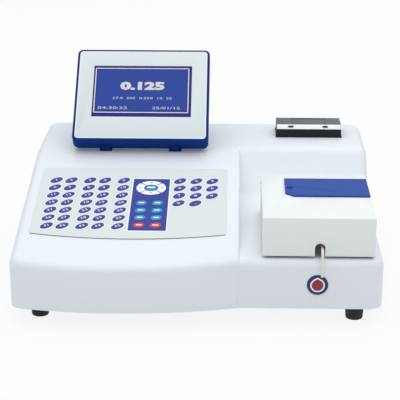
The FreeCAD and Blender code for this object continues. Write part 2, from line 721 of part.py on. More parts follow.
def display_slab(name, inset, front, back, radius):
    """A rounded slab of the display between two depths."""
    body = new_body(name)
    drawn = sketch(body, name + "_face", "XZ_Plane", panel_outline(inset), offset=f"-({back})")
    pad(body, drawn, f"({back})-({front})")
    rounded(body, radius, lambda e: len(e.Vertexes) == 2 and abs(e.Vertexes[0].Y - e.Vertexes[1].Y) > 0.1)
    return body


def lean(item):
    item.Placement = LEAN
    return item


HALF_EAR = "(ear_width/2)"
back_form = display_slab("back_form", "0", D_SPLIT, D_BACK, "display_round")
rounded(back_form, "display_pivot-0.5", lambda e: near(e, y=D_BACK, z=D_LOW), "hinge_edge")
cheeks = []
notches = []
for side in (-1, 1):
    middle = f"({side}*hinge_reach)"
    cheeks.append(block(f"{middle}-{HALF_EAR}-5", "-7.5", D_LOW, "ear_width+10", "7.5+display_pivot", "16"))
    notches.append(
        block(f"{middle}-{HALF_EAR}-0.4", "-7.2", f"{D_LOW}-1", "ear_width+0.8", "20", "display_pivot+8.2")
    )
held = doc.addObject("Part::Common", "cheeks")
held.Base = back_form
held.Tool = join(*cheeks)
SCREWS = [
    (f"{side}*(display_width/2-11)", z)
    for side in (-1, 1)
    for z in (f"{D_LOW}+17", "display_length-display_pivot-11")
]
posts = [rod(x, D_SPLIT, z, "4", f"{D_BACK}-{D_SPLIT}-1", along="Y", name="post") for x, z in SCREWS]
back_tools = [rod(x, f"{D_SPLIT}-1", z, "1.6", "display_depth", along="Y") for x, z in SCREWS]
back_tools += [rod(x, f"{D_BACK}-2.5", z, "3.1", "5", along="Y") for x, z in SCREWS]
back_hollow = display_slab(
    "back_hollow", "display_wall", f"{D_SPLIT}-1", f"{D_BACK}-display_wall", "display_round-display_wall"
)
pin_bore = rod("-hinge_reach-30", "0", "0", "hinge_pin+hinge_play", "2*hinge_reach+60", along="X")
back_shell = join(cut(back_form, back_hollow), held, *posts)
piece(lean(cut(back_shell, *notches, *back_tools, pin_bore, name="display_back")), "display_back")
front_form = display_slab("front_form", "0", D_FRONT, D_SPLIT, "display_round")
rounded(
    front_form, "2",
    lambda e: all(abs(v.Y - value(D_FRONT)) < 0.01 for v in e.Vertexes), "front_edges",
)
SEAT = f"({D_FRONT}+panel_film)"
front_seat = display_slab("front_seat", "display_rim", f"{D_FRONT}-1", SEAT, "display_round-2")
front_hollow = display_slab(
    "front_hollow", "display_wall", f"{SEAT}+display_wall", f"{D_SPLIT}+1", "display_round-display_wall"
)
WINDOW_Z = f"({D_LOW}+window_foot)"
view = block("-window_width/2+3", f"{D_FRONT}-1", f"{WINDOW_Z}+3", "window_width-6", "12", "window_height-6")
front_posts = [rod(x, f"{SEAT}+1", z, "4", f"{D_SPLIT}-{SEAT}-1", along="Y") for x, z in SCREWS]
front_holes = [rod(x, f"{SEAT}+2.5", z, "1.55", "20", along="Y") for x, z in SCREWS]
front_shell = join(cut(front_form, front_seat, front_hollow, view), *front_posts)
piece(lean(cut(front_shell, *front_holes, name="display_front")), "display_front")
panel_slab = display_slab(
    "panel_slab", "(display_rim+0.2)", f"{D_FRONT}+0.1", f"{D_FRONT}+panel_film", "display_round-2.2"
)
pane_hole = block("-window_width/2", f"{D_FRONT}-1", WINDOW_Z, "window_width", "5", "window_height")
piece(lean(cut(panel_slab, pane_hole, name="display_panel")), "display_panel")
pane = block(
    "-window_width/2+0.2", f"{D_FRONT}+0.1", f"{WINDOW_Z}+0.2", "window_width-0.4", "panel_film-0.1",
    "window_height-0.4",
)
piece(lean(group(pane)), "display_pane")
MODULE_FRONT = f"({D_FRONT}+panel_film+display_wall)"
module = cut(
    block("-window_width/2-3", MODULE_FRONT, f"{WINDOW_Z}-3", "window_width+6", "7", "window_height+6"),
    block("-lcd_width/2", f"{MODULE_FRONT}-1", f"{WINDOW_Z}+3.5", "lcd_width", "2", "lcd_height"),
)
piece(lean(group(module)), "lcd_module")
driver = [block("-60", f"{MODULE_FRONT}+10", f"{WINDOW_Z}+2", "120", "1.6", "window_height")]
driver += [
    rod(f"{x}", f"{MODULE_FRONT}+7", f"{WINDOW_Z}+{z}", "2.5", "3", along="Y")
    for x in (-54, 54)
    for z in (8, 66)
]
piece(lean(join(*driver, name="driver_board")), "driver_board")
fixings = [
    join(
        rod(x, f"{D_FRONT}+panel_film+3", z, "1.5", f"{D_BACK}-{D_FRONT}-panel_film-5", along="Y"),
        rod(x, f"{D_BACK}-2.5", z, "2.9", "2", along="Y"),
    )
    for x, z in SCREWS
]
piece(lean(group(*fixings)), "display_screws")
ears = []
for side in (-1, 1):
    left = f"{DISPLAY_X}+{side}*hinge_reach-{HALF_EAR}"
    ears += [
        rod(left, PIVOT_Y, PIVOT_Z, "6", "ear_width", along="X"),
        block(left, f"{PIVOT_Y}-6", TOP, "ear_width", "12", "display_clear+display_pivot"),
        block(f"{left}-2", f"{PIVOT_Y}-8", TOP, "ear_width+4", "16", "1.4"),
    ]
bore = rod(f"{DISPLAY_X}-hinge_reach-30", PIVOT_Y, PIVOT_Z, "hinge_pin+0.05", "2*hinge_reach+60", along="X")
piece(cut(join(*ears), bore, name="display_ears"), "display_ears")
PIN_LEFT = f"({DISPLAY_X}-hinge_reach-{HALF_EAR}-4.5)"
piece(
    rod(PIN_LEFT, PIVOT_Y, PIVOT_Z, "hinge_pin", "2*hinge_reach+ear_width+9", along="X"),
    "display_hinge_pin",
)

# Printer
P_TOP = f"({TOP}+printer_height)"
P_BACK = f"({PRINTER_FRONT}+printer_length)"
printer = new_body("printer")
side_view = [
    (PRINTER_FRONT, TOP),
    (PRINTER_FRONT, f"{TOP}+printer_face"),
    (f"{PRINTER_FRONT}+6.5", P_TOP),
    (P_BACK, P_TOP),
    (P_BACK, TOP),
]
pad(printer, sketch(printer, "printer_side", "YZ_Plane", side_view, offset=PRINTER_LEFT), "printer_width")
lip = block(f"{PRINTER_LEFT}-1", f"{PRINTER_FRONT}-1", TOP, "printer_width+2", "printer_length+2", "1.5")
well = block(
    f"{PRINTER_LEFT}+5", f"{PRINTER_FRONT}+5", f"{TOP}-printer_well", "printer_width-10", "printer_length-10",
    "printer_well+1",
)
HINGE_Y = f"({PRINTER_FRONT}+printer_length-6.5)"
HINGE_Z = f"({P_TOP}-2)"
cavity = block(
    f"{PRINTER_X}-door_width/2-0.4", f"{PRINTER_FRONT}+7", f"{TOP}-printer_well+2", "door_width+0.8",
    "printer_length-11", "printer_well+printer_height",
)
hinge_bore = rod(f"{PRINTER_X}-door_width/2-5", HINGE_Y, HINGE_Z, "1.05", "door_width+10", along="X")
ROLLER_Y = f"({PRINTER_FRONT}+12.8)"
ROLLER_Z = f"({TOP}+9)"
roller_bore = rod(
    f"{PRINTER_X}-door_width/2-5", ROLLER_Y, ROLLER_Z, "1.5+hinge_play", "door_width+10", along="X"
)
housing = join(printer, lip, well)
piece(cut(housing, cavity, hinge_bore, roller_bore, name="printer_housing"), "printer_housing")
piece(
    rod(f"{PRINTER_X}-door_width/2-4", HINGE_Y, HINGE_Z, "1", "door_width+8", along="X"),
    "printer_hinge_pin",
)
DOOR_FRONT = f"({PRINTER_FRONT}+9.5)"
DOOR_LEFT = f"({PRINTER_X}-door_width/2)"
door = join(
    block(DOOR_LEFT, DOOR_FRONT, f"{P_TOP}-2", "door_width", f"{HINGE_Y}-{DOOR_FRONT}", "2"),
    rod(DOOR_LEFT, HINGE_Y, HINGE_Z, "2", "door_width", along="X"),
)
door_bore = rod(f"{PRINTER_X}-door_width/2-1", HINGE_Y, HINGE_Z, "1+hinge_play", "door_width+2", along="X")
piece(cut(door, door_bore, name="printer_door"), "printer_door")
piece(
    join(
        rod(f"{PRINTER_X}-door_width/2+0.3", ROLLER_Y, ROLLER_Z, "4", "door_width-0.6", along="X"),
        rod(f"{PRINTER_X}-door_width/2-4", ROLLER_Y, ROLLER_Z, "1.5", "door_width+8", along="X"),
        name="platen_roller",
    ),
    "platen_roller",
)
piece(
    block(f"{PRINTER_X}-paper_width/2", f"{PRINTER_FRONT}+7", f"{TOP}+3", "paper_width", "1.5", "10"),
    "print_head",
)
ROLL_Y = f"({PRINTER_FRONT}+7.3+paper_radius)"
ROLL_Z = f"({TOP}-printer_well+2.1+paper_radius)"
piece(
    cut(
        rod(f"{PRINTER_X}-paper_width/2", ROLL_Y, ROLL_Z, "paper_radius", "paper_width", along="X"),
        rod(f"{PRINTER_X}-paper_width/2-1", ROLL_Y, ROLL_Z, "5", "paper_width+2", along="X"),
        name="paper_roll",
    ),
    "paper_roll",
)
strip = new_body("strip")
strip_side = [
    (f"{PRINTER_FRONT}-0.4", f"{TOP}+printer_face+0.6"),
    (PRINTER_FRONT, f"{TOP}+printer_face"),
    (f"{PRINTER_FRONT}+6.5", P_TOP),
    (f"{PRINTER_FRONT}+6.1", f"{P_TOP}+0.6"),
]
strip_face = sketch(strip, "strip_side", "YZ_Plane", strip_side, offset=f"{PRINTER_LEFT}+0.5")
pad(strip, strip_face, "printer_width-1")
piece(strip, "tear_bar")

# Chamber cover, its hinge and the cuvette lid
C_FRONT = f"({FRONT}+cover_front)"
C_LOW = f"({FLOOR}+cover_gap)"
C_TOP = f"({C_LOW}+cover_height)"
C_BACK = f"({C_FRONT}+cover_length)"
COVER_Y = f"({C_BACK}-cover_pivot_y)"
COVER_Z = f"({C_TOP}-cover_pivot_z)"
LID_Y = f"({FRONT}+lid_front)"
SCREW_X = f"({LID_LEFT}+lid_screw_x)"
SCREW_Y = f"({LID_Y}+lid_screw_y)"
box = block(COVER_LEFT, C_FRONT, C_LOW, "cover_width", "cover_length", "cover_height")
box_hollow = block(
    f"{COVER_LEFT}+cover_sheet", f"{C_FRONT}+cover_sheet", f"{C_LOW}-1", "cover_width-2*cover_sheet",
    "cover_length-2*cover_sheet", "cover_height+1-cover_sheet",
)
INNER_LEFT = f"({COVER_LEFT}+cover_sheet)"
INNER_RIGHT = f"({COVER_LEFT}+cover_width-cover_sheet)"
INNER_BACK = f"({C_BACK}-cover_sheet)"
back_slots = [
    block(x, f"{INNER_BACK}-1", f"{C_LOW}-1", "5", "cover_sheet+2", "cover_height-1")
    for x in (INNER_LEFT, f"{INNER_RIGHT}-5")
]
back_slots.append(
    block(INNER_LEFT, f"{INNER_BACK}-1", f"{C_LOW}-1", "cover_width-2*cover_sheet", "cover_sheet+2", "4")
)
ARCH = "(notch_height-notch_radius)"
notch = [
    block(
        f"{NOTCH_X}-notch_radius", f"{C_FRONT}-1", f"{C_LOW}-1", "2*notch_radius", "cover_sheet+2", f"{ARCH}+1"
    ),
    rod(NOTCH_X, f"{C_FRONT}-1", f"{C_LOW}+{ARCH}", "notch_radius", "cover_sheet+2", along="Y"),
]
cover_bore = rod(f"{COVER_LEFT}-1", COVER_Y, COVER_Z, "cover_pin+hinge_play", "cover_width+2", along="X")
piece(
    cut(
        box, box_hollow, *back_slots, *notch, cover_bore,
        rod(PORT_X, PORT_Y, f"{C_TOP}-5", "port_radius", "10"),
        rod(SCREW_X, SCREW_Y, f"{C_TOP}-5", "lid_screw+0.05", "10"),
        name="chamber_cover",
    ),
    "chamber_cover",
)
hinges = []
hinge_pins = []
for side, inner_face, outer_face in (
    (1, f"({INNER_LEFT}+0.4)", f"({COVER_LEFT}-0.6)"),
    (-1, f"({INNER_RIGHT}-2.4)", f"({INNER_RIGHT}-3)"),
):
    hinges += [
        block(inner_face, f"{COVER_Y}-5", FLOOR, "2", "10", f"{COVER_Z}-{FLOOR}"),
        rod(inner_face, COVER_Y, COVER_Z, "5", "2", along="X"),
        block(f"{inner_face}+{4 * side - 4}", f"{COVER_Y}-5", FLOOR, "10", "10", "1.5"),
    ]
    hinge_pins.append(rod(outer_face, COVER_Y, COVER_Z, "cover_pin", "cover_sheet+3.6", along="X"))
ear_bore = rod(COVER_LEFT, COVER_Y, COVER_Z, "cover_pin+0.05", "cover_width", along="X")
piece(cut(join(*hinges), ear_bore, name="cover_hinges"), "cover_hinges")
piece(group(*hinge_pins), "cover_hinge_pins")
LID_Z = f"({C_TOP}+lid_gap)"
lid = new_body("lid")
lid_right, lid_back = f"({LID_LEFT}+lid_width)", f"({LID_Y}+lid_length)"
lid_corners = [
    (f"{LID_LEFT}+lid_chamfer", LID_Y), (lid_right, LID_Y), (lid_right, lid_back), (LID_LEFT, lid_back),
    (LID_LEFT, f"{LID_Y}+lid_chamfer"),
]
pad(lid, sketch(lid, "lid_plan", "XY_Plane", lid_corners, offset=LID_Z), "lid_sheet")
lid_bore = rod(SCREW_X, SCREW_Y, f"{LID_Z}-1", "lid_screw+hinge_play", "5")
piece(cut(lid, lid_bore, name="cuvette_lid"), "cuvette_lid")
piece(
    join(
        rod(
            SCREW_X, SCREW_Y, f"{C_TOP}-cover_sheet-2.5", "lid_screw", "cover_sheet+2.5+lid_gap+lid_sheet+0.2"
        ),
        rod(SCREW_X, SCREW_Y, f"{LID_Z}+lid_sheet+0.1", "lid_head", "1.4"),
        rod(SCREW_X, SCREW_Y, f"{C_TOP}-cover_sheet-2.2", "lid_head", "2.2"),
        name="lid_screw",
    ),
    "lid_screw",
)

# Optics
BENCH = f"({TRAY}+bench_height)"
BENCH_TOP = f"({BENCH}+3)"
BEAM_Z = f"({BENCH_TOP}+beam_height)"
BENCH_WIDE = "(bay_width-bench_step-bench_side)"
piece(
    join(
        block(BENCH_LEFT, f"{PORT_Y}-36", BENCH, BENCH_WIDE, "72", "3"),
        block(BENCH_LEFT, f"{PORT_Y}-36", TRAY, BENCH_WIDE, "2", "bench_height+1"),
        block(BENCH_LEFT, f"{PORT_Y}+34", TRAY, BENCH_WIDE, "2", "bench_height+1"),
        name="optics_bench",
    ),
    "optics_bench",
)
BLOCK_LEFT = f"({PORT_X}-block_width/2)"
BLOCK_FRONT = f"({PORT_Y}-block_length/2)"
BLOCK_TOP = f"({FLOOR}+block_rise)"
WELL_Z = f"({BEAM_Z}-8)"
NEEDLE_Z = f"({FLOOR}+needle_rise)"
beam = rod(f"{BLOCK_LEFT}-1", PORT_Y, BEAM_Z, "beam_radius", "block_width+2", along="X")
piece(
    cut(
        block(
            BLOCK_LEFT, BLOCK_FRONT, BENCH_TOP, "block_width", "block_length", f"{BLOCK_TOP}-{BENCH_TOP}"
        ),
        block(f"{PORT_X}-cell_well/2", f"{PORT_Y}-cell_well/2", WELL_Z, "cell_well", "cell_well", "90"),
        beam,
        rod(NEEDLE_X, f"{BLOCK_FRONT}-1", NEEDLE_Z, "needle_radius+0.05", "12", along="Y"),
        name="cell_block",
    ),
    "cell_block",
)
piece(
    block(
        f"{PORT_X}-cell_well/2+0.25", f"{PORT_Y}-cell_well/2+0.25", WELL_Z, "cell_well-0.5", "cell_well-0.5",
        f"{BLOCK_TOP}-{WELL_Z}-2",
    ),
    "flow_cell",
)
piece(
    cut(
        block(f"{BENCH_LEFT}+2", f"{PORT_Y}-17", BENCH_TOP, "36", "34", "27"),
        rod(f"{BENCH_LEFT}+6", PORT_Y, BEAM_Z, "10", "40", along="X"),
        name="lamp_housing",
    ),
    "lamp_housing",
)
piece(
    join(
        rod(f"{BENCH_LEFT}+6", PORT_Y, BEAM_Z, "4", "12", along="X"),
        rod(f"{BENCH_LEFT}+18", PORT_Y, BEAM_Z, "5.5", "8", along="X"),
        name="lamp",
    ),
    "lamp",
)
piece(
    cut(
        rod(f"{BENCH_LEFT}+38", PORT_Y, BEAM_Z, "8", f"{BLOCK_LEFT}-{BENCH_LEFT}-38", along="X"),
        rod(f"{BENCH_LEFT}+37", PORT_Y, BEAM_Z, "5", "40", along="X"),
        name="lens_tube",
    ),
    "lens_tube",
)
WHEEL_X = f"({BLOCK_LEFT}+block_width+3)"
WHEEL_Y = f"({PORT_Y}+wheel_pitch)"
filters = []
FILTERS = 8
for i in range(FILTERS):
    turn = 2 * math.pi * i / FILTERS
    y = f"{WHEEL_Y}-wheel_pitch*{math.cos(turn):.6f}"
    z = f"{BEAM_Z}+wheel_pitch*{math.sin(turn):.6f}"
    filters.append(rod(f"{WHEEL_X}-1", y, z, "2.4", "5", along="X"))
piece(
    cut(
        rod(WHEEL_X, WHEEL_Y, BEAM_Z, "wheel_radius", "3", along="X"),
        rod(f"{WHEEL_X}-1", WHEEL_Y, BEAM_Z, "1.5+hinge_play", "5", along="X"),
        *filters,
        name="filter_wheel",
    ),
    "filter_wheel",
)
piece(
    join(
        rod(f"{WHEEL_X}-1", WHEEL_Y, BEAM_Z, "1.5", "6", along="X"),
        rod(f"{WHEEL_X}+3.4", WHEEL_Y, BEAM_Z, "5.5", "16", along="X"),
        block(f"{WHEEL_X}+5", f"{WHEEL_Y}-4", BENCH_TOP, "12", "8", "beam_height-4"),
        name="filter_motor",
    ),
    "filter_motor",
)
piece(
    join(
        block(f"{WHEEL_X}+11", f"{PORT_Y}-26", BENCH_TOP, "1.6", "29", "27"),
        rod(f"{WHEEL_X}+5", PORT_Y, BEAM_Z, "3", "7", along="X"),
        name="photodiode_board",
    ),
    "photodiode_board",
)

# Pump
PUMP_Y = f"({FRONT}+pump_y)"
piece(
    join(
        rod(PUMP_X, PUMP_Y, TRAY, "14", "30"),
        rod(PUMP_X, PUMP_Y, f"{TRAY}+29", "2", "20"),
        name="pump_motor",
    ),
    "pump_motor",
)
piece(
    cut(
        rod(PUMP_X, PUMP_Y, f"{TRAY}+30", "pump_radius", "20"),
        rod(PUMP_X, PUMP_Y, f"{TRAY}+33", "pump_radius-3", "30"),
        rod(PUMP_X, PUMP_Y, f"{TRAY}+20", "3", "30"),
        name="pump_head",
    ),
    "pump_head",
)
rollers = []
ROLLERS = 3
for i in range(ROLLERS):
    turn = 2 * math.pi * i / ROLLERS
    x = f"{PUMP_X}+{13 * math.cos(turn):.4f}"
    y = f"{PUMP_Y}+{13 * math.sin(turn):.4f}"
    rollers.append(rod(x, y, f"{TRAY}+33.5", "5", "14"))
piece(
    cut(
        join(rod(PUMP_X, PUMP_Y, f"{TRAY}+33.5", "9", "14"), *rollers),
        rod(PUMP_X, PUMP_Y, f"{TRAY}+33", "2+hinge_play", "20"),
        name="pump_rotor",
    ),
    "pump_rotor",
)

# Aspirating needle: a bent tube from the cell block, through the notch and down the front
needle = new_body("needle")
NEEDLE_Y = f"({FRONT}-needle_reach)"
NEEDLE_END = f"({BLOCK_FRONT}+8)"
path = needle.newObject("Sketcher::SketchObject", "needle_path")
path.AttachmentSupport = [(origin_plane(needle, "YZ_Plane"), "")]
path.MapMode = "FlatFace"
path.setExpression("AttachmentOffset.Base.z", linked(NEEDLE_X))
y0, y1 = value(NEEDLE_Y), value(NEEDLE_END)
z0, z1, radius = value("needle_foot"), value(NEEDLE_Z), value("needle_bend")
corner = Vector(y0 + radius * (1 - math.sqrt(0.5)), z1 - radius * (1 - math.sqrt(0.5)), 0)
path.addGeometry(Part.LineSegment(Vector(y1, z1, 0), Vector(y0 + radius, z1, 0)), False)
path.addGeometry(Part.Arc(Vector(y0 + radius, z1, 0), corner, Vector(y0, z1 - radius, 0)), False)
path.addGeometry(Part.LineSegment(Vector(y0, z1 - radius, 0), Vector(y0, z0, 0)), False)
section = [(NEEDLE_X, NEEDLE_Z, "needle_radius"), (NEEDLE_X, NEEDLE_Z, "needle_radius-0.6")]
ring = round_sketch(needle, "needle_section", "XZ_Plane", section, offset=f"-{NEEDLE_END}")
doc.recompute()
sweep = needle.newObject("PartDesign::AdditivePipe", "needle_tube")
sweep.Profile = ring
sweep.Spine = (path, ["Edge1", "Edge2", "Edge3"])
needle.Tip = sweep
doc.recompute()
piece(needle, "aspirator_needle")

# Aspirate button and its switch
B_BACK = f"({FRONT}+wall)"
piece(
    join(
        rod(BUTTON_X, f"{FRONT}-1.4", "button_z", "button_radius", "1.7+wall", along="Y"),
        rod(BUTTON_X, f"{B_BACK}+0.3", "button_z", "button_radius+2", "1.5", along="Y"),
        rod(BUTTON_X, f"{B_BACK}+1", "button_z", "3", "6", along="Y"),
        name="aspirate_button",
    ),
    "aspirate_button",
)
SWITCH_Y = f"({B_BACK}+7+button_travel+0.3)"
piece(
    join(
        block(f"{BUTTON_X}-10", SWITCH_Y, "button_z-6", "20", "8", "12"),
        block(f"{BUTTON_X}-10", f"{SWITCH_Y}+7", TRAY, "20", "1.5", f"button_z+6-{TRAY}"),
        block(f"{BUTTON_X}-10", f"{SWITCH_Y}+7", TRAY, "20", "12", "1.5"),
        name="button_switch",
    ),
    "button_switch",
)

# Electronics
BOARD_Y = f"({FRONT}+board_front)"
BOARD_Z = f"({TRAY}+board_rise)"
chips = [
    (20, 20, 25, 25, 3), (60, 30, 34, 14, 4), (60, 56, 34, 14, 4), (110, 20, 14, 14, 3), (20, 70, 50, 12, 9),
    (110, 60, 24, 40, 10),
]
piece(
    join(
        block(BOARD_LEFT, BOARD_Y, BOARD_Z, "board_width", "board_length", "1.6"),
        *[
            block(f"{BOARD_LEFT}+{x}", f"{BOARD_Y}+{y}", f"{BOARD_Z}+1.6", wide, deep, high, name="chip")
            for x, y, wide, deep, high in chips
        ],
        name="main_board",
    ),
    "main_board",
)
piece(
    group(*[
        rod(f"{BOARD_LEFT}+{x}", f"{BOARD_Y}+{y}", TRAY, "3", "board_rise")
        for x in ("5", "board_width-5")
        for y in ("5", "board_length-5")
    ]),
    "board_standoffs",
)
SUPPLY_Y = f"({FRONT}+supply_front)"
piece(
    cut(
        block(SUPPLY_LEFT, SUPPLY_Y, TRAY, "98", "130", "38"),
        block(f"{SUPPLY_LEFT}+1.2", f"{SUPPLY_Y}-1", f"{TRAY}+1.2", "95.6", "132", "35.6"),
        name="supply_case",
    ),
    "supply_case",
)
piece(
    join(
        block(f"{SUPPLY_LEFT}+4", f"{SUPPLY_Y}+3", f"{TRAY}+5", "90", "124", "1.6"),
        *[
            rod(f"{SUPPLY_LEFT}+{x}", f"{SUPPLY_Y}+{y}", f"{TRAY}+1.2", "3", "4")
            for x in (10, 88)
            for y in (9, 121)
        ],
        block(f"{SUPPLY_LEFT}+34", f"{SUPPLY_Y}+44", f"{TRAY}+6", "32", "30", "26"),
        rod(f"{SUPPLY_LEFT}+20", f"{SUPPLY_Y}+96", f"{TRAY}+6", "9", "27"),
        name="supply_board",
    ),
    "supply_board",
)

doc.recompute()
for item in doc.Objects:
    if {"Invalid", "Error"} & set(item.State):
        raise RuntimeError(f"{item.Name}: {item.State}")
for item in PIECES:
    shape = item.Shape
    if shape.isNull() or not shape.isValid() or shape.Volume <= 0:
        raise RuntimeError(f"{item.Label} is not a sound solid")
for item in PIECES:
    item.Shape.exportStep(f"parts/{item.Label}.step")
print(len(PIECES), "pieces")
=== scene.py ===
import json
import math

import bpy
from mathutils import Matrix, Vector

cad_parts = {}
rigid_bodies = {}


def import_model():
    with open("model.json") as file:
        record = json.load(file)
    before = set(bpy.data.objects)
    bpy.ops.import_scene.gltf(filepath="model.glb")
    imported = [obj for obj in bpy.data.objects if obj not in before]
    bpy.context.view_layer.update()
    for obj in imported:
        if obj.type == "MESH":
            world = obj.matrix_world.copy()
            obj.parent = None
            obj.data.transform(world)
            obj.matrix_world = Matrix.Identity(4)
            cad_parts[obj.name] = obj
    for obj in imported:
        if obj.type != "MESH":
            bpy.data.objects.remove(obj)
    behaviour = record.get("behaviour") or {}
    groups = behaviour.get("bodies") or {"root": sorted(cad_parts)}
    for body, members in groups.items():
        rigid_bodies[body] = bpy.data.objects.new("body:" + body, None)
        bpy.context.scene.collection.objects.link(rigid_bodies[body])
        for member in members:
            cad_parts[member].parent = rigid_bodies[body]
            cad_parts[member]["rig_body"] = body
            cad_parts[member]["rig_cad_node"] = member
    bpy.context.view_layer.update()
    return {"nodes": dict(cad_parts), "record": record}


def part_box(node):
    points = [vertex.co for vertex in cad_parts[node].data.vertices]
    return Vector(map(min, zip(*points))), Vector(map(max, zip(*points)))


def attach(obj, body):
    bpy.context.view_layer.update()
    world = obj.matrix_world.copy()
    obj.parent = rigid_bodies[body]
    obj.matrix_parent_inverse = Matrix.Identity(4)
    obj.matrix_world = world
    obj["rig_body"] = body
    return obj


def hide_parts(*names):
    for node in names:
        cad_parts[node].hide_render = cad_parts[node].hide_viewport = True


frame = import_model()
nodes = frame["nodes"]
slot_of = {sub["node"]: sub["material_slot"] for sub in frame["record"]["subparts"]}

# Sizes in metres, on the same axes as the solids
FLAT_FRONT = -0.187
CREASE_Z = 0.0824
TOP_Z = 0.1343
SLOPE = math.radians(11.7)
DISPLAY_X = -0.081
DISPLAY_LEAN = math.radians(49.0)
DISPLAY_DEPTH = 0.026
HINGE_BACK = 0.256
HINGE_Z = 0.1448
HINGE_INSET = 0.0085
PRINT_GAP = 0.0001
SAME_PLACE = 1e-6

UPRIGHT = Matrix.Rotation(math.pi / 2, 4, "X")
SLOPE_PLACE = Matrix.Translation((0, FLAT_FRONT, CREASE_Z)) @ Matrix.Rotation(SLOPE, 4, "X")
HINGE_PLACE = Matrix.Translation((DISPLAY_X, FLAT_FRONT + HINGE_BACK, HINGE_Z))
DISPLAY_PLACE = HINGE_PLACE @ Matrix.Rotation(-DISPLAY_LEAN, 4, "X")
DISPLAY_FACE = HINGE_INSET - DISPLAY_DEPTH + PRINT_GAP

# Studio: each lamp has a name, a place, what it points at, its size and its power
CAMERA_PLACE = (0.0423, -1.6302, 0.6819)
CAMERA_TURN = (math.radians(70), 0, math.radians(1.5))
CAMERA_LENS = 120.7
LAMPS = (
    ("overhead", (0.0, -0.1, 2.0), (0, 0, 0.05), 2.2, 9.0),
    ("front_high", (0.1, -1.0, 2.1), (0, -0.05, 0.08), 1.1, 1.6),
    ("back_right", (0.9, 1.3, 1.3), (0, 0, 0.1), 1.4, 2.6),
)
FLOOR_SIZE = 12
FLOOR_WHITE = 0.86


def seen_by(tree, *rays):
    """One for a ray of any of the named kinds, and nought for the rest."""
    path = tree.nodes.new("ShaderNodeLightPath")
    seen = path.outputs[rays[0]]
    for ray in rays[1:]:
        either = tree.nodes.new("ShaderNodeMath")
        either.operation = "MAXIMUM"
        tree.links.new(seen, either.inputs[0])
        tree.links.new(path.outputs[ray], either.inputs[1])
        seen = either.outputs[0]
    return seen


def mix_into(tree, share, under, over, output):
    """Lay one shader over another by a share, and show the two."""
    mix = tree.nodes.new("ShaderNodeMixShader")
    shown = tree.nodes.new(output)
    tree.links.new(share, mix.inputs["Fac"])
    tree.links.new(under.outputs[0], mix.inputs[1])
    tree.links.new(over.outputs[0], mix.inputs[2])
    tree.links.new(mix.outputs[0], shown.inputs["Surface"])


def studio_camera():
    """The photograph's viewpoint."""
    scene = bpy.context.scene
    scene.view_settings.view_transform = "Standard"
    lens = bpy.data.cameras.new("camera")
    lens.sensor_width = 36
    lens.lens = CAMERA_LENS
    camera = bpy.data.objects.new("camera", lens)
    camera.location = CAMERA_PLACE
    camera.rotation_euler = CAMERA_TURN
    scene.collection.objects.link(camera)
    scene.camera = camera


def studio_sky():
    """Soft light that fades towards the horizon, and a white ground behind the object."""
    world = bpy.data.worlds.new("studio")
    bpy.context.scene.world = world
    world.use_nodes = True
    tree = world.node_tree
    tree.nodes.clear()
    soft = tree.nodes.new("ShaderNodeBackground")
    soft.inputs["Color"].default_value = (0.93, 0.96, 1.0, 1)
    around = tree.nodes.new("ShaderNodeTexCoord")
    height = tree.nodes.new("ShaderNodeSeparateXYZ")
    fade = tree.nodes.new("ShaderNodeMapRange")
    fade.inputs["From Min"].default_value = -0.1
    fade.inputs["From Max"].default_value = 0.7
    fade.inputs["To Min"].default_value = 0.04
    fade.inputs["To Max"].default_value = 1.02
    tree.links.new(around.outputs["Generated"], height.inputs["Vector"])
    tree.links.new(height.outputs["Z"], fade.inputs["Value"])
    tree.links.new(fade.outputs["Result"], soft.inputs["Strength"])
    white = tree.nodes.new("ShaderNodeBackground")
    white.inputs["Color"].default_value = (1, 1, 1, 1)
    white.inputs["Strength"].default_value = 1.1
    seen = seen_by(tree, "Is Camera Ray", "Is Transmission Ray")
    mix_into(tree, seen, soft, white, "ShaderNodeOutputWorld")


def studio_lamps():
    for name, place, aim, size, power in LAMPS:
        data = bpy.data.lights.new(name, "AREA")
        data.size = size
        data.energy = power
        lamp = bpy.data.objects.new(name, data)
        lamp.location = place
        lamp.rotation_euler = (Vector(aim) - Vector(place)).to_track_quat("-Z", "Y").to_euler()
        bpy.context.scene.collection.objects.link(lamp)


def floor_finish():
    """A pale floor that keeps the object's shadow."""
    mat = bpy.data.materials.new("pale_floor")
    mat.use_nodes = True
    tree = mat.node_tree
    tree.nodes.clear()
    share = tree.nodes.new("ShaderNodeMath")
    share.operation = "MULTIPLY"
    share.inputs[1].default_value = FLOOR_WHITE
    tree.links.new(seen_by(tree, "Is Camera Ray", "Is Glossy Ray", "Is Transmission Ray"), share.inputs[0])
    lit = tree.nodes.new("ShaderNodeBsdfDiffuse")
    lit.inputs["Color"].default_value = (0.86, 0.86, 0.86, 1)
    white = tree.nodes.new("ShaderNodeEmission")
    white.inputs["Strength"].default_value = 1.0
    mix_into(tree, share.outputs[0], lit, white, "ShaderNodeOutputMaterial")
    return mat


def studio_floor():
    bpy.ops.mesh.primitive_plane_add(size=FLOOR_SIZE, location=(0, 0, 0))
    floor = bpy.context.object
    floor.name = "studio_floor"
    floor.data.materials.append(floor_finish())


def linear(r, g, b):
    """A colour given as it looks on screen, 0 to 255, for a shader."""
    shares = [c / 255 for c in (r, g, b)]
    return tuple(((c + 0.055) / 1.055) ** 2.4 if c > 0.04 else c / 12.92 for c in shares) + (1,)


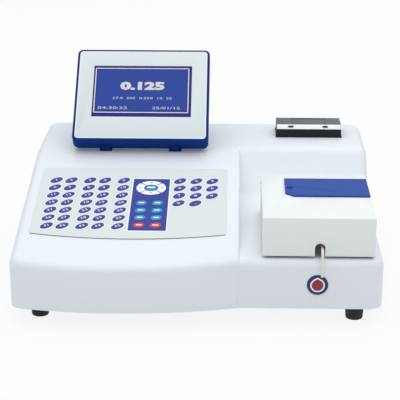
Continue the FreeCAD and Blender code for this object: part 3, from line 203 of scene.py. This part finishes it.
def finish(name, colour, mottle=0.02, patch=30, rough=0.45, rough_spread=0.06, grain=1500, depth=0.00001,
           metallic=0.0, coat=0.0, specular=0.5, stretch=(1, 1, 1)):
    """A surface with a slightly uneven colour, an uneven polish and a fine grain."""
    mat = bpy.data.materials.new(name)
    mat.use_nodes = True
    tree = mat.node_tree
    shader = tree.nodes["Principled BSDF"]
    shader.inputs["Metallic"].default_value = metallic
    shader.inputs["Coat Weight"].default_value = coat
    shader.inputs["Coat Roughness"].default_value = 0.2
    shader.inputs["Specular IOR Level"].default_value = specular
    place = tree.nodes.new("ShaderNodeTexCoord")
    mapping = tree.nodes.new("ShaderNodeMapping")
    mapping.inputs["Scale"].default_value = stretch
    tree.links.new(place.outputs["Object"], mapping.inputs["Vector"])

    def noise(scale, detail):
        node = tree.nodes.new("ShaderNodeTexNoise")
        node.inputs["Scale"].default_value = scale
        node.inputs["Detail"].default_value = detail
        tree.links.new(mapping.outputs["Vector"], node.inputs["Vector"])
        return node.outputs["Fac"]

    tone = tree.nodes.new("ShaderNodeMix")
    tone.data_type = "RGBA"
    tone.inputs["A"].default_value = tuple(c * (1 - mottle) for c in colour[:3]) + (1,)
    tone.inputs["B"].default_value = tuple(min(1, c * (1 + mottle)) for c in colour[:3]) + (1,)
    tree.links.new(noise(patch, 3), tone.inputs["Factor"])
    tree.links.new(tone.outputs["Result"], shader.inputs["Base Color"])
    polish = tree.nodes.new("ShaderNodeMapRange")
    polish.inputs["To Min"].default_value = rough - rough_spread
    polish.inputs["To Max"].default_value = rough + rough_spread
    tree.links.new(noise(patch * 4, 4), polish.inputs["Value"])
    tree.links.new(polish.outputs["Result"], shader.inputs["Roughness"])
    bump = tree.nodes.new("ShaderNodeBump")
    bump.inputs["Strength"].default_value = 0.6
    bump.inputs["Distance"].default_value = depth
    tree.links.new(noise(grain, 2), bump.inputs["Height"])
    tree.links.new(bump.outputs["Normal"], shader.inputs["Normal"])
    return mat


def clear_finish(name, colour):
    """A clear quartz surface."""
    mat = finish(name, colour, mottle=0.01, rough=0.05, rough_spread=0.02, depth=0.000002)
    shader = mat.node_tree.nodes["Principled BSDF"]
    shader.inputs["Transmission Weight"].default_value = 0.95
    shader.inputs["IOR"].default_value = 1.46
    return mat


def moulding(name, colour, **looks):
    """A moulded plastic with a spark-eroded grain."""
    return finish(name, colour, **{"grain": 1800, "depth": 0.00002, **looks})


def print_film(name, colour, mottle=0.01, patch=12, rough=0.42):
    """A printed plastic film."""
    return finish(name, colour, mottle=mottle, patch=patch, rough=rough, grain=2600)


def key_print(name, colour):
    """The glossier print on a key."""
    return print_film(name, colour, mottle=0.04, patch=80, rough=0.34)


def display_print_finish(name, colour, rough=0.4, **looks):
    """Print behind the display's window."""
    return finish(name, colour, rough=rough, depth=0.000004, **looks)


FINISHES = {
    "casing": finish("moulded_white", linear(236, 239, 243), mottle=0.008, patch=6, rough=0.38,
                     rough_spread=0.03, grain=2200, depth=0.000012),
    "sheet_steel": finish("zinc_sheet", linear(190, 192, 194), mottle=0.05, patch=25, rough=0.4,
                          rough_spread=0.08, grain=900, metallic=1.0),
    "steel": finish("bright_steel", linear(205, 203, 198), mottle=0.03, rough=0.25, grain=3000,
                    depth=0.000005, metallic=1.0, stretch=(1, 1, 0.1)),
    "alloy": finish("anodised_alloy", linear(160, 163, 168), mottle=0.03, rough=0.35, grain=1600,
                    metallic=1.0),
    "foot": finish("foot_rubber", linear(22, 22, 25), mottle=0.1, rough=0.7, grain=1200, depth=0.00004),
    "roller": finish("roller_rubber", linear(40, 40, 42), mottle=0.08, rough=0.65, depth=0.00003),
    "black_plastic": moulding("black_moulding", linear(26, 27, 31), mottle=0.06, rough=0.5, depth=0.00003,
                              specular=0.3),
    "dark_plastic": moulding("dark_moulding", linear(96, 97, 99), mottle=0.05),
    "blue_plastic": moulding("blue_moulding", linear(20, 54, 128), mottle=0.03, rough=0.6, specular=0.05),
    "cuvette_lid_blue": moulding("lid_blue", linear(48, 80, 160), patch=20, rough=0.5, depth=0.00001,
                                 specular=0.15),
    "cover_paint": finish("powder_coat", linear(240, 242, 239), mottle=0.008, patch=14, rough=0.5,
                          grain=1400, depth=0.00002),
    "paper": finish("thermal_paper", linear(240, 240, 236), mottle=0.01, rough=0.6),
    "clear_strip": finish("bright_strip", linear(245, 247, 249), mottle=0.01, rough=0.25, coat=0.3),
    "quartz": clear_finish("quartz", (0.92, 0.95, 0.96, 1)),
    "circuit_board": finish("green_lacquer", linear(28, 92, 52), mottle=0.12, patch=60, rough=0.4,
                            depth=0.00002),
    "tube_cream": finish("tube_cream", linear(240, 234, 220), mottle=0.03, patch=60, rough=0.35,
                         depth=0.000005),
    "disc_blue": finish("disc_blue", linear(20, 34, 112), mottle=0.03, rough=0.35, grain=2200),
    "disc_red": finish("disc_red", linear(158, 26, 44), mottle=0.03, rough=0.35, grain=2200),
    "dark_mark": finish("dark_mark", linear(24, 26, 32), mottle=0.05, rough=0.5),
    "edge_shadow": finish("edge_shadow", linear(104, 108, 92), mottle=0.05, rough=0.6),
    "keypad": print_film("printed_film", linear(221, 227, 224)),
    "panel_film": print_film("display_film", linear(222, 229, 228)),
    "print_white": print_film("print_white", linear(246, 248, 249), patch=60),
    "field_blue": print_film("field_blue", linear(18, 40, 144), mottle=0.02, patch=40, rough=0.4),
    "key_blue": key_print("key_blue", linear(34, 44, 146)),
    "key_cyan": key_print("key_cyan", linear(0, 148, 196)),
    "key_red": key_print("key_red", linear(224, 50, 46)),
    "pane": finish("pane_print", linear(44, 66, 150), rough=0.18, coat=0.5),
    "window_blue": display_print_finish("window_blue", linear(18, 36, 122), specular=0.2),
    "picture_blue": display_print_finish("picture_blue", linear(42, 70, 154), rough=0.45, specular=0.15),
    "picture_light": display_print_finish("picture_light", linear(214, 214, 212)),
    "liner": display_print_finish("window_liner", linear(226, 214, 222)),
}


def select_only(piece):
    bpy.ops.object.select_all(action="DESELECT")
    piece.select_set(True)
    bpy.context.view_layer.objects.active = piece


def edit(piece):
    """Open a piece in edit mode with all of it selected."""
    select_only(piece)
    bpy.ops.object.mode_set(mode="EDIT")
    bpy.ops.mesh.select_all(action="SELECT")


def edit_chosen():
    """Open the piece at hand with what was chosen in code."""
    bpy.ops.object.mode_set(mode="EDIT")


def leave():
    bpy.ops.object.mode_set(mode="OBJECT")


def raise_by(rise):
    """Pull the flat faces up into a solid."""
    bpy.ops.mesh.select_all(action="SELECT")
    bpy.ops.mesh.extrude_region_move(TRANSFORM_OT_translate={"value": (0, 0, rise)})


def turn_out():
    """Point every face outwards, and leave edit mode."""
    bpy.ops.mesh.select_all(action="SELECT")
    bpy.ops.mesh.normals_make_consistent(inside=False)
    leave()


def paint_all(piece, finish_name):
    piece.data.materials.clear()
    piece.data.materials.append(FINISHES[finish_name])


def body_of(node):
    for body, members in frame["record"]["behaviour"]["bodies"].items():
        if node in members:
            return body
    return None


def softened(node, name, width=0.0, merge=1.0, paint=None):
    """A node's own shape, with its edges eased by a width and its flat facets merged within an angle."""
    piece = nodes[node].copy()
    piece.data = nodes[node].data.copy()
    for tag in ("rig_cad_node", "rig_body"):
        if tag in piece:
            del piece[tag]
    piece.parent = None
    piece.name = name
    bpy.context.scene.collection.objects.link(piece)
    edit(piece)
    bpy.ops.mesh.customdata_custom_splitnormals_clear()
    bpy.ops.mesh.remove_doubles(threshold=0.000005)
    if merge:
        bpy.ops.mesh.dissolve_limited(angle_limit=math.radians(merge))
    leave()
    if width:
        bevel = piece.modifiers.new("eased", "BEVEL")
        bevel.width = width
        bevel.segments = 2
        bevel.limit_method = "ANGLE"
        bevel.angle_limit = math.radians(40)
        bpy.ops.object.modifier_apply(modifier=bevel.name)
    bpy.ops.object.shade_smooth_by_angle(angle=math.radians(35))
    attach(piece, body_of(node))
    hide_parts(node)
    paint_all(piece, paint or slot_of[node])
    return piece


def shells():
    """The outer solids, eased as a mould or a press leaves them."""
    softened("upper_casing", "casing_shell", merge=0)
    softened("display_back", "display_rear_shell", 0.0004)
    softened("display_front", "display_bezel", 0.0004)
    softened("display_panel", "display_front_film", 0.0002)
    printer_top(softened("printer_housing", "printer_case", 0.0005))
    softened("printer_door", "printer_lid", 0.0003)
    softened("tear_bar", "tear_strip", 0.0002)
    softened("chamber_cover", "cover_box", 0.0006)
    softened("cuvette_lid", "lid_plate", 0.0004, paint="cuvette_lid_blue")
    softened("lid_screw", "lid_pivot_screw", 0.0003, paint="cuvette_lid_blue")
    softened("aspirate_button", "button_disc", 0.0004, paint="disc_blue")
    softened("aspirator_needle", "needle_tube", merge=0, paint="tube_cream")
    for foot in ("foot_front_left", "foot_front_right", "foot_rear_left", "foot_rear_right"):
        softened(foot, foot + "_rubber", 0.001)


def printer_top(case):
    """The printer's upward faces, in a paler finish that is painted light: they are made lighter as if lit
    from above.
    """
    above = TOP_Z + 0.0107
    case.data.materials.append(FINISHES["dark_plastic"])
    # Painted light: faces turned up and above this height take the paler finish.
    for face in case.data.polygons:
        if face.normal.z > 0.5 and face.center.z > above:
            face.material_index = 1


def settle(piece, name, place):
    """Name a finished mesh and fix its place in its own vertices."""
    select_only(piece)
    piece.name = name
    piece.data.name = name
    bpy.ops.object.transform_apply(location=True, rotation=True, scale=True)
    piece.data.transform(place)
    bpy.ops.object.shade_smooth_by_angle(angle=math.radians(35))


def place_on(piece, name, finish_name, place, body="base", replaces=()):
    """Lay a piece made flat on its surface, and tie it to a body."""
    settle(piece, name, place)
    paint_all(piece, finish_name)
    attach(piece, body)
    if replaces:
        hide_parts(*replaces)


def on_keypad(piece, name, finish_name, replaces=()):
    place_on(piece, name, finish_name, SLOPE_PLACE, replaces=replaces)


def on_display(piece, name, finish_name, depth, replaces=()):
    """Lay a piece on the display's front, at a depth behind its printed film."""
    place = DISPLAY_PLACE @ Matrix.Translation((0, DISPLAY_FACE + depth, 0)) @ UPRIGHT
    place_on(piece, name, finish_name, place, body="display", replaces=replaces)


def rectangle(width, length, x=0.0, y=0.0, low=0.0):
    """A flat rectangle, to be given its thickness."""
    bpy.ops.object.select_all(action="DESELECT")
    bpy.ops.mesh.primitive_plane_add(size=1, location=(0, 0, 0))
    piece = bpy.context.object
    piece.data.transform(Matrix.Translation((x, y, low)) @ Matrix.Diagonal((width, length, 1, 1)))
    return piece


def disc(sides, radius=0.5):
    """A flat round face, to be given its thickness."""
    bpy.ops.object.select_all(action="DESELECT")
    bpy.ops.mesh.primitive_circle_add(vertices=sides, radius=radius, fill_type="NGON", location=(0, 0, 0))
    return bpy.context.object


def plate(width, length, rise, corner, x=0.0, y=0.0, low=0.0, steps=6):
    """A flat plate with rounded corners."""
    piece = rectangle(width, length, x, y, low)
    edit(piece)
    bpy.ops.mesh.bevel(offset=corner, segments=steps, affect="VERTICES")
    raise_by(rise)
    turn_out()
    return piece


def band_round(width, length, band, rise, corner, x=0.0, y=0.0):
    """A flat frame with rounded corners."""
    piece = rectangle(width, length, x, y)
    edit(piece)
    bpy.ops.mesh.bevel(offset=corner, segments=6, affect="VERTICES")
    bpy.ops.mesh.select_all(action="SELECT")
    bpy.ops.mesh.inset(thickness=band)
    bpy.ops.mesh.delete(type="FACE")
    raise_by(rise)
    turn_out()
    return piece


def oval(width, length, rise=0.0003, crown=0.0, x=0.0, y=0.0, low=0.0, turn=0.0, sides=32):
    """A low oval key: an upright rim, an eased shoulder and a slightly crowned face."""
    piece = disc(sides)
    piece.data.transform(Matrix.Rotation(turn, 4, "Z") @ Matrix.Diagonal((width, length, 1, 1)))
    edit(piece)
    raise_by(rise)
    if crown:
        for share, lift in ((0.10, 0.55), (0.22, 0.30), (0.30, 0.15)):
            bpy.ops.mesh.inset(thickness=share * length * 0.5)
            bpy.ops.transform.translate(value=(0, 0, crown * lift))
    turn_out()
    piece.data.transform(Matrix.Translation((x, y, low)))
    return piece


def together(made):
    """Join pieces into the first of them."""
    bpy.ops.object.select_all(action="DESELECT")
    for item in made:
        item.select_set(True)
    bpy.context.view_layer.objects.active = made[0]
    if len(made) > 1:
        bpy.ops.object.join()
    return made[0]


def copies(piece, offsets):
    """The piece and its copies at other places, each with its own mesh, as one object."""
    made = [piece]
    x0, y0 = offsets[0]
    for x, y in offsets[1:]:
        other = piece.copy()
        other.data = piece.data.copy()
        other.data.transform(Matrix.Translation((x - x0, y - y0, 0)))
        bpy.context.scene.collection.objects.link(other)
        made.append(other)
    return together(made)


def figures(text, height, x, y, low, turn=0.0, wide=1.0, bold=0.0):
    """Plain numerals as a thin raised mesh, centred on a point."""
    bpy.ops.object.select_all(action="DESELECT")
    bpy.ops.object.text_add(location=(0, 0, 0))
    words = bpy.context.object.data
    words.body = text
    words.align_x = "CENTER"
    words.align_y = "CENTER"
    words.size = height
    words.resolution_u = 2
    words.extrude = 0.00008
    words.offset = bold
    bpy.ops.object.convert(target="MESH")
    piece = bpy.context.object
    turned = Matrix.Rotation(turn, 4, "Z") @ Matrix.Diagonal((wide, 1, 1, 1))
    piece.data.transform(Matrix.Translation((x, y, low)) @ turned)
    return piece


def figures_in(text, left, right, foot, head, bold=0.0):
    """Numerals stretched to fill a rectangle."""
    piece = figures(text, 0.01, 0, 0, 0, bold=bold)
    xs = [v.co.x for v in piece.data.vertices]
    ys = [v.co.y for v in piece.data.vertices]
    wide, tall = (right - left) / (max(xs) - min(xs)), (head - foot) / (max(ys) - min(ys))
    stretched = Matrix.Diagonal((wide, tall, 1, 1)) @ Matrix.Translation((-min(xs), -min(ys), 0))
    piece.data.transform(Matrix.Translation((left, foot, 0)) @ stretched)
    return piece


# Keypad, drawn flat from the crease and then laid on the slope
FILM = 0.0010
FIELD_PRINT = 0.00015
PITCH = 0.01787
FIRST_ROW = 0.0686
ROWS = 7
KEY_WIDE = 0.0176
KEY_LONG = 0.0112
KEY_TURN = math.radians(40)
KEY_RING = 0.0024
LEFT_COLUMNS = (-0.1834, -0.1643, -0.1404, -0.1212, -0.0971)
RIGHT_COLUMNS = (-0.0253, -0.0046, 0.0158)
LEFT_KEYS = [(x, FIRST_ROW + row * PITCH) for row in range(ROWS) for x in LEFT_COLUMNS]
NUMBER_KEYS = [(x, FIRST_ROW + row * PITCH) for row in (6, 5, 4) for x in RIGHT_COLUMNS]
NUMBER_KEYS += [(x, FIRST_ROW + 3 * PITCH) for x in RIGHT_COLUMNS[:2]]
FIELD_LEFT = -0.0844
FIELD_RIGHT = -0.0383
FIELD_FOOT = 0.0593
FIELD_HEAD = 0.1806
FIELD_COLUMNS = (-0.0715, -0.0514)
CYAN_ROWS = (0.1222, 0.1050, 0.0883)
RED_ROW = 0.0712
PAD_CENTRE = (-0.0613, 0.1582)
PAD_WIDE = 0.0373
PAD_TALL = 0.0330


def keypad_sheet():
    """The printed film, with a bowed front edge that shows dark."""
    left, right, foot, head, bow = -0.203, 0.035, 0.0527, 0.2079, 0.0112
    half, middle = (right - left) / 2, (left + right) / 2
    sheet = rectangle(right - left, head - foot, middle, (foot + head) / 2)
    edit(sheet)
    bpy.ops.mesh.select_mode(type="EDGE")
    bpy.ops.mesh.select_all(action="DESELECT")
    leave()
    for side in sheet.data.edges:
        ends = [sheet.data.vertices[i].co for i in side.vertices]
        side.select = all(abs(end.y - foot) < SAME_PLACE for end in ends)
    edit_chosen()
    bpy.ops.mesh.subdivide(number_cuts=40)
    leave()
    for v in sheet.data.vertices:
        if abs(v.co.y - foot) < SAME_PLACE:
            v.co.y -= bow * (1 - ((v.co.x - middle) / half) ** 2)
    edit(sheet)
    bpy.ops.mesh.select_mode(type="VERT")
    bpy.ops.mesh.select_all(action="DESELECT")
    leave()
    for v in sheet.data.vertices:
        v.select = min(abs(v.co.x - left), abs(v.co.x - right)) < SAME_PLACE
    edit_chosen()
    bpy.ops.mesh.bevel(offset=0.004, segments=5, affect="VERTICES")
    raise_by(FILM)
    turn_out()
    on_keypad(sheet, "keypad_sheet", "keypad", replaces=("keypad_film",))
    sheet.data.materials.append(FINISHES["edge_shadow"])
    for face in sheet.data.polygons:
        if face.normal.y < -0.7:
            face.material_index = 1


def keypad_keys():
    """Slanted oval keys, each in a white ring and with a plain number."""
    every = LEFT_KEYS + NUMBER_KEYS
    x, y = every[0]
    ring = oval(KEY_WIDE + KEY_RING, KEY_LONG + KEY_RING, 0.00012, x=x, y=y, low=FILM, turn=KEY_TURN)
    on_keypad(copies(ring, every), "key_outlines", "print_white")
    cap = oval(KEY_WIDE, KEY_LONG, crown=0.0003, x=x, y=y, low=FILM, turn=KEY_TURN)
    on_keypad(copies(cap, every), "blue_keys", "key_blue")
    top = FILM + 0.00062
    marks = []
    for place, (x, y) in enumerate(LEFT_KEYS):
        row, column = divmod(place, len(LEFT_COLUMNS))
        number = (ROWS - 1 - row) * len(LEFT_COLUMNS) + column + 1
        marks.append(figures(str(number), 0.0060, x, y, top, turn=0.42, wide=1.35))
    for number, (x, y) in zip("1234567890.", NUMBER_KEYS):
        marks.append(figures(number, 0.0066, x, y, top, turn=0.42, wide=1.3))
    on_keypad(together(marks), "key_figures", "print_white")


def control_field():
    """The blue field between the two groups, with its cyan and red keys."""
    width, length = FIELD_RIGHT - FIELD_LEFT, FIELD_HEAD - FIELD_FOOT
    x, y = (FIELD_LEFT + FIELD_RIGHT) / 2, (FIELD_FOOT + FIELD_HEAD) / 2
    border = plate(width + 0.0028, length + 0.0036, 0.00008, 0.0012, x=x, y=y, low=FILM)
    on_keypad(border, "field_border", "print_white")
    field = plate(width, length, FIELD_PRINT, 0.0008, x=x, y=y, low=FILM)
    on_keypad(field, "control_field", "field_blue")
    low = FILM + FIELD_PRINT
    cyan = [(x, y) for y in CYAN_ROWS for x in FIELD_COLUMNS]
    red = [(x, RED_ROW) for x in FIELD_COLUMNS]
    for spots, name, paint in ((cyan, "cyan_keys", "key_cyan"), (red, "red_keys", "key_red")):
        x, y = spots[0]
        cap = oval(0.0138, 0.0112, crown=0.0003, x=x, y=y, low=low, turn=0.3)
        on_keypad(copies(cap, spots), name, paint)
    top = low + 0.00055
    bars = [plate(0.0068, 0.0022, 0.0001, 0.0004, x=x, y=y, low=top, steps=2) for x, y in cyan + red]
    on_keypad(together(bars), "service_marks", "print_white")


def arrow_pad():
    """Four white segments in an oval round a cyan key, each with an arrow."""
    x, y = PAD_CENTRE
    low = FILM + FIELD_PRINT
    rise = 0.0004
    ring = disc(120)
    edit(ring)
    bpy.ops.mesh.inset(thickness=0.26)
    bpy.ops.mesh.delete(type="FACE")
    bpy.ops.mesh.select_mode(type="FACE")
    bpy.ops.mesh.select_all(action="DESELECT")
    leave()
    for face in ring.data.polygons:
        angle = math.degrees(math.atan2(face.center.y, face.center.x)) % 90
        face.select = abs(angle - 45) < 3.2
    edit_chosen()
    bpy.ops.mesh.delete(type="FACE")
    raise_by(rise)
    turn_out()
    ring.data.transform(Matrix.Translation((x, y, low)) @ Matrix.Diagonal((PAD_WIDE, PAD_TALL, 1, 1)))
    on_keypad(ring, "arrow_segments", "print_white")
    core = oval(0.0148, 0.0128, crown=0.0004, x=x, y=y, low=low)
    on_keypad(core, "centre_key", "key_cyan")
    band = plate(0.0100, 0.0030, 0.0001, 0.0008, x=x, y=y + 0.0008, low=low + 0.00062, steps=2)
    on_keypad(band, "centre_mark", "print_white")
    arrows = []
    for quarter in range(4):
        arrow = disc(3, 0.0017)
        edit(arrow)
        raise_by(0.0001)
        turn_out()
        reach = 0.37 * (PAD_WIDE if quarter % 2 else PAD_TALL)
        turned = Matrix.Rotation(quarter * math.pi / 2, 4, "Z") @ Matrix.Translation((0, reach, 0))
        arrow.data.transform(Matrix.Translation((x, y, low + rise)) @ turned)
        arrows.append(arrow)
    on_keypad(together(arrows), "arrow_marks", "key_blue")


# Display, drawn from the middle of its hinge and then stood up and leant back
PICTURE_X = -0.0008
PICTURE_Z = 0.0710


def display_print():
    """The printed line round the front, the window and what it shows."""
    line = band_round(0.1732, 0.1388, 0.0013, 0.00008, 0.0042, y=0.0643)
    on_display(line, "film_border", "print_white", 0)
    glass = plate(0.1322, 0.0813, 0.0004, 0.0012, y=0.0693)
    on_display(glass, "window_ground", "window_blue", 0.0013, replaces=("display_pane",))
    liner = band_round(0.1270, 0.0720, 0.0014, 0.0002, 0.0006, x=PICTURE_X, y=PICTURE_Z)
    on_display(liner, "window_liner", "liner", 0.0009)
    picture = plate(0.1216, 0.0662, 0.0001, 0.0002, x=PICTURE_X, y=PICTURE_Z)
    on_display(picture, "picture", "picture_blue", 0.0009)
    shown = [
        figures_in("0.125", -0.030, 0.030, 0.0713, 0.0848, bold=0.0006),
        figures_in("37.0  505  0.250  12  25", -0.0392, 0.040, 0.0568, 0.0600),
        figures_in("04:30:22", -0.0585, -0.0191, 0.0408, 0.0448),
        figures_in("25/01/15", 0.0144, 0.0513, 0.0408, 0.0448),
    ]
    on_display(together(shown), "picture_figures", "picture_light", 0.0008)


def button_print():
    """The drop drawn on the aspirate button."""
    place = Matrix.Translation((0.142, FLAT_FRONT - 0.0014, 0.052)) @ UPRIGHT
    tip = 30
    for name, radius, rise, paint in (
        ("drop_outline", 0.0086, 0.00012, "print_white"),
        ("drop_ground", 0.0068, 0.00020, "disc_blue"),
    ):
        drop = disc(90, radius)
        for v in drop.data.vertices:
            away = abs(math.degrees(math.atan2(v.co.x, v.co.y)))
            if away < tip:
                v.co *= 1 / math.cos(math.radians(tip - away))
        edit(drop)
        raise_by(rise)
        turn_out()
        place_on(drop, name, paint, place, body="button")
    middle = oval(0.0130, 0.0130, crown=0.0003)
    place_on(middle, "button_middle", "disc_red", place, body="button")


def small_dark_details():
    """Screws and sensor windows that show dark, and a dark disc on the lid screw that is painted shade in
    its socket.
    """
    strip_front, strip_foot, strip_run, strip_rise = 0.3178, 0.0145, 0.0065, 0.0045
    slant = Matrix.Rotation(math.atan2(strip_rise, strip_run), 4, "X")
    strip = Matrix.Translation((0, FLAT_FRONT + strip_front, TOP_Z + strip_foot)) @ slant
    slots = [oval(0.0085, 0.0034, 0.0004, x=x) for x in (0.1205, 0.1673)]
    place_on(together(slots), "strip_windows", "dark_mark", strip)
    top = Matrix.Translation((0, 0, TOP_Z + 0.016))
    heads = ((0.1096, 0.1463), (0.1805, 0.1450))
    screws = [oval(0.0020, 0.0020, 0.0002, x=x, y=y, sides=16) for x, y in heads]
    place_on(together(screws), "printer_screws", "dark_mark", top)
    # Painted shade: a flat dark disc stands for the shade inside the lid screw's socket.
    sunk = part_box("lid_screw")[1][2] - 0.00005
    socket_shade = oval(0.0034, 0.0034, 0.00015, x=0.1116, y=FLAT_FRONT + 0.108, low=sunk, sides=24)
    place_on(socket_shade, "screw_socket_painted_shade", "dark_mark", Matrix.Identity(4), body=body_of("lid_screw"))


for name, node in nodes.items():
    paint_all(node, slot_of[name])

studio_camera()
studio_sky()
studio_lamps()
studio_floor()
shells()
keypad_sheet()
keypad_keys()
control_field()
arrow_pad()
display_print()
button_print()
small_dark_details()
